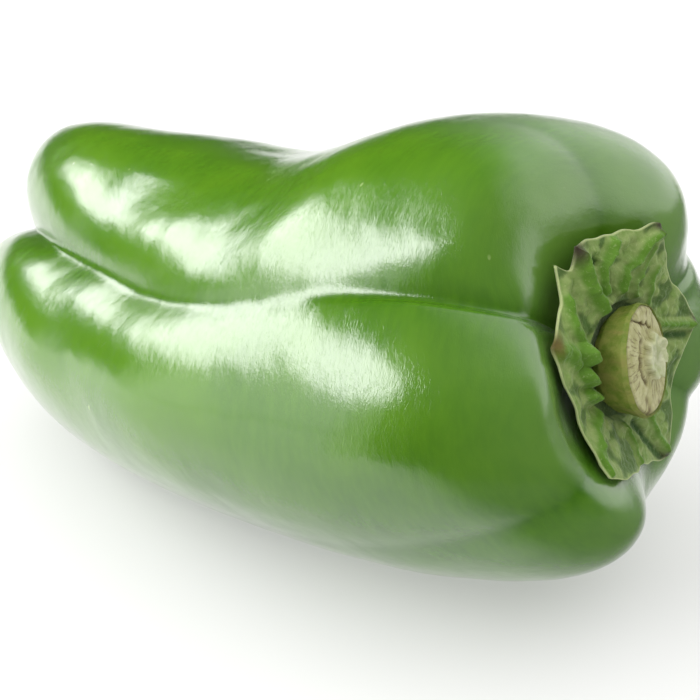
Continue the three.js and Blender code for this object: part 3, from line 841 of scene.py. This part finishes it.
def stem_ring(share, swell, cut, with_relief):
    """Add a ring of the stub, on its side or on its cut, with its marks."""
    fluted = swell if cut else swell + STEM_FLUTES["swell"] * flute
    up, front, height, cut_up, cut_front = stem_places(share, fluted)
    relief, pith, groove, crack = cut_relief(cut_up, cut_front, swell)
    from_spots = [np.hypot(cut_up - spot_up, cut_front - spot_front) for spot_up, spot_front in CUT_SPOTS]
    spots = sum(np.exp(-((gap / CUT_WIDTHS["spot"]) ** 2)) for gap in from_spots)
    edge = smoothstep(share, *STEM_SIDE_DARKENS) * smoothstep(swell, *CUT_EDGE_DARKENS)
    dark = np.maximum(CUT_DARKNESS["groove"] * groove + crack, CUT_DARKNESS["spot"] * spots)
    dark = dark + CUT_DARKNESS["edge"] * edge
    stem_rows.append(seat_points(up, front, height + (relief if with_relief else 0)))
    stem_marks["cut"].append(np.full(STEM_SIDES, float(cut)))
    stem_marks["pith"].append(pith * cut)
    stem_marks["dark"].append(np.clip(dark, 0, 1))
    angle = np.arctan2(cut_front - PITH["front"], cut_up - PITH["up"])
    reach = np.hypot(cut_up - PITH["up"], cut_front - PITH["front"])
    length = reach if cut else height + SPOKE_START
    stem_spokes.append(np.stack([length, SPOKE_RADIUS * np.cos(angle), SPOKE_RADIUS * np.sin(angle)], -1))


for (share_a, swell_a), (share_b, swell_b) in zip(STEM_SIDE[:-1], STEM_SIDE[1:]):
    for sub in range(STEM_STEPS):
        t = sub / STEM_STEPS
        stem_ring(lerp(share_a, share_b, t), lerp(swell_a, swell_b, t), False, False)
for ring in range(STEM_CUT_RINGS):
    stem_ring(1, STEM_SIDE[-1][1] * (1 - ring / STEM_CUT_RINGS), ring > 0, True)
lowest = seat_points(0.0, 0.0, CALYX_BOSS_HEIGHT + STEM_GAP)
middle_relief = cut_relief(np.zeros(1), np.zeros(1), 0.0)[0][0]
highest = seat_points(STEM_CUT["middle_up"], STEM_CUT["middle_front"], STEM_CUT["height"] + middle_relief)
stem_points, stem_faces = body_of_rows(lowest, np.array(stem_rows), highest)
stem_values = {}
for label, rows in stem_marks.items():
    stem_values[label] = np.concatenate([[0], np.ravel(rows), [rows[-1][0]]])
spokes = np.array(stem_spokes).reshape(-1, 3)
stem_values["spokes"] = np.concatenate([stem_spokes[0][:1], spokes, stem_spokes[-1][:1]])
stem = smooth_piece("stem_stub", stem_points, stem_faces, stem_values, woody_stub())
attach(stem, "root")
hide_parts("stem")

# Floor and light
# A plain white table that glows a little, under a soft ceiling, with one long window to the left of the
# camera. The room is dim at the camera, and its walls glow low at the left and behind at the right.
FLOOR_SIZE = 6.0
FLOOR_Z = -0.0001
FLOOR_GREY = (0.5, 0.5, 0.495, 1)
FLOOR_GLOW = 0.36
# Past the stem end the table looks this much darker in reflections, fading in between two places along X
FLOOR_DIM_SHARE = 0.9
FLOOR_DIM_FROM = 0.05
FLOOR_DIM_TO = 0.085
LIGHT_CENTRE = Vector((0, 0, 0.04))
BACKGROUND = (0.9, 0.9, 0.89, 1)
ROOM_SOFT_LIGHT = (0.5, 0.5, 0.49, 1)
ROOM_DIMNESS = 0.03
# Each glow of the walls: azimuth, elevation, where it starts to fade and where it ends, and its radiance
WALL_GLOWS = [(150, 20, 25, 75, 1.25), (-25, 5, 15, 45, 1.5)]


def window(name, azimuth, elevation, distance, width, height, radiance):
    """An area light that faces the object, its width and height given in degrees as the object sees it."""
    light = bpy.data.lights.new(name, "AREA")
    light.shape = "RECTANGLE"
    light.size = 2 * distance * tan(radians(width) / 2)
    light.size_y = 2 * distance * tan(radians(height) / 2)
    light.energy = radiance * pi * light.size * light.size_y
    lamp = bpy.data.objects.new(name, light)
    bpy.context.scene.collection.objects.link(lamp)
    towards = direction(radians(azimuth), radians(elevation))
    lamp.location = LIGHT_CENTRE + towards * distance
    lamp.rotation_mode = "QUATERNION"
    lamp.rotation_quaternion = towards.to_track_quat("Z", "Y")
    lamp.visible_camera = False
    return lamp


window("window", azimuth=-46, elevation=37, distance=0.8, width=78, height=20, radiance=6.4)
ceiling = window("ceiling", azimuth=0, elevation=90, distance=1.5, width=90, height=90, radiance=1.1)
ceiling.visible_glossy = False

# A dark screen with soft edges keeps the room at the camera dim in the reflections
SCREEN = {"azimuth": radians(52), "distance": 0.125, "half_width": 0.15, "height": 0.16, "fades_from": 0.5}
screen_side = Vector((cos(SCREEN["azimuth"]), sin(SCREEN["azimuth"]), 0)) * SCREEN["half_width"]
screen_rise = Vector((0, 0, SCREEN["height"]))
screen_foot = direction(SCREEN["azimuth"], 0) * SCREEN["distance"]
screen_mesh = bpy.data.meshes.new("screen")
screen_corners = [screen_foot + screen_side * across + screen_rise * up
                  for across, up in ((-1, 0), (1, 0), (1, 1), (-1, 1))]
screen_mesh.from_pydata(screen_corners, [], [(0, 1, 2, 3)])
for edge_name, edge_values in (("across", [-1, 1, 1, -1]), ("upwards", [0, 0, 1, 1])):
    screen_layer = screen_mesh.attributes.new(edge_name, "FLOAT", "POINT")
    screen_layer.data.foreach_set("value", edge_values)
screen_finish, screen_tree, screen_shader = new_finish("dark screen")
edge_closeness = maths(screen_tree, "ABSOLUTE", attribute(screen_tree, "across").outputs["Fac"])
top_closeness = attribute(screen_tree, "upwards").outputs["Fac"]
side_fade = ranged(screen_tree, edge_closeness, SCREEN["fades_from"], 1.0, 1.0, 0.0)
top_fade = ranged(screen_tree, top_closeness, SCREEN["fades_from"], 1.0, 1.0, 0.0)
screen_cover = maths(screen_tree, "MULTIPLY", side_fade, top_fade)
fill_all(screen_tree, screen_shader, Base_Color=(0, 0, 0, 1), Specular_IOR_Level=0, Alpha=screen_cover)
screen_mesh.materials.append(screen_finish)
screen = bpy.data.objects.new("screen", screen_mesh)
bpy.context.scene.collection.objects.link(screen)
screen.visible_camera = False
screen.visible_diffuse = False
screen.visible_shadow = False

floor_mesh = bpy.data.meshes.new("floor")
half_floor = FLOOR_SIZE / 2
floor_corners = [(-half_floor, -half_floor, FLOOR_Z), (half_floor, -half_floor, FLOOR_Z),
                 (half_floor, half_floor, FLOOR_Z), (-half_floor, half_floor, FLOOR_Z)]
floor_mesh.from_pydata(floor_corners, [], [(0, 1, 2, 3)])
floor_finish, floor_tree, floor_shader = new_finish("pale floor")
table_place = floor_tree.nodes.new("ShaderNodeTexCoord").outputs["Object"]
along_x = vector_maths(floor_tree, "DOT_PRODUCT", table_place, (1, 0, 0)).outputs["Value"]
past_stem_end = ranged(floor_tree, along_x, FLOOR_DIM_FROM, FLOOR_DIM_TO)
mirrored = floor_tree.nodes.new("ShaderNodeLightPath").outputs["Is Glossy Ray"]
dimmed = maths(floor_tree, "MULTIPLY", past_stem_end, mirrored)
lit_share = maths(floor_tree, "SUBTRACT", 1.0, maths(floor_tree, "MULTIPLY", dimmed, FLOOR_DIM_SHARE))
floor_colour = mixed(floor_tree, lit_share, (0, 0, 0, 1), FLOOR_GREY)
floor_glow = maths(floor_tree, "MULTIPLY", lit_share, FLOOR_GLOW)
fill_all(floor_tree, floor_shader, Base_Color=floor_colour, Roughness=0.6,
         Emission_Color=(1, 1, 0.99, 1), Emission_Strength=floor_glow)
floor_mesh.materials.append(floor_finish)
floor_piece = bpy.data.objects.new("floor", floor_mesh)
bpy.context.scene.collection.objects.link(floor_piece)

room = bpy.data.worlds.new("room")
bpy.context.scene.world = room
room.use_nodes = True
room_tree = room.node_tree
background = room_tree.nodes["Background"]
heading = room_tree.nodes.new("ShaderNodeTexCoord").outputs["Generated"]
level = ROOM_DIMNESS
for azimuth, elevation, fades_from, ends, radiance in WALL_GLOWS:
    towards = direction(radians(azimuth), radians(elevation))
    closeness = vector_maths(room_tree, "DOT_PRODUCT", heading, towards).outputs["Value"]
    share = ranged(room_tree, closeness, cos(radians(ends)), cos(radians(fades_from)))
    level = maths(room_tree, "ADD", level, maths(room_tree, "MULTIPLY", share, radiance))
seen = room_tree.nodes.new("ShaderNodeLightPath").outputs["Is Camera Ray"]
even = room_tree.nodes.new("ShaderNodeLightPath").outputs["Is Diffuse Ray"]
soft_light = mixed(room_tree, even, level, ROOM_SOFT_LIGHT)
room_tree.links.new(mixed(room_tree, seen, soft_light, BACKGROUND), background.inputs["Color"])
